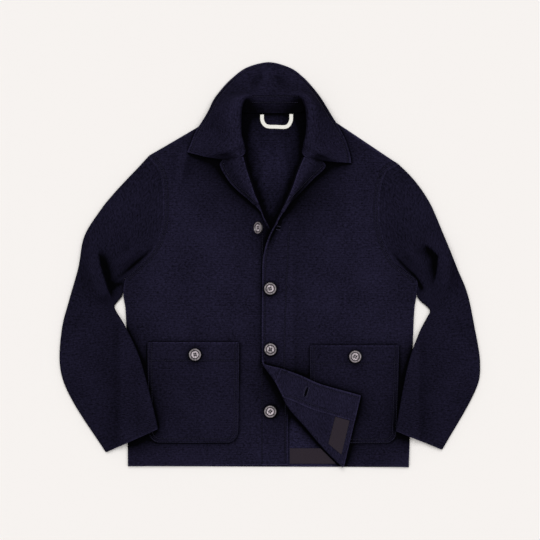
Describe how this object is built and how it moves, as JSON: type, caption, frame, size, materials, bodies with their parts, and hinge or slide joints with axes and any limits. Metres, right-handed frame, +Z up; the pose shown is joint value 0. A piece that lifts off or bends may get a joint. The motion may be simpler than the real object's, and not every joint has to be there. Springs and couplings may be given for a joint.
{
  "type": "work jacket",
  "caption": "Boiled wool work jacket laid flat, with rolled collar and lapels, patch pockets and one front corner turned up.",
  "frame": {"origin": "middle of the laid-out jacket's outline, on the surface that it rests on", "axes": "+X to the right of the picture, which is the wearer's left, +Y up to the collar, +Z up from the surface"},
  "size_m": [0.819, 0.7893, 0.0309],
  "materials": {
    "wool": "dark navy boiled wool, fuzzy and matte, with a faint heathered rib",
    "tape": "dark grey brown twill tape, matte",
    "loop_tape": "cream cotton tape, fine plain weave",
    "horn": "dark mottled horn look, polished, four holes"
  },
  "bodies": {
    "root": {"back": "wool", "front_right": "wool", "front_left": "wool", "collar": "wool", "sleeve_right": "wool", "sleeve_left": "wool", "pocket_right": "wool", "pocket_left": "wool", "facing_right_lapel": "wool", "facing_left_lapel": "wool", "facing_left_corner": "wool", "hem_tape_left": "tape", "hem_tape_back": "tape", "hanger_loop": "loop_tape", "button_front_1": "horn", "button_front_2": "horn", "button_front_3": "horn", "button_front_4": "horn", "button_pocket_right": "horn", "button_pocket_left": "horn"}
  },
  "joints": []
}
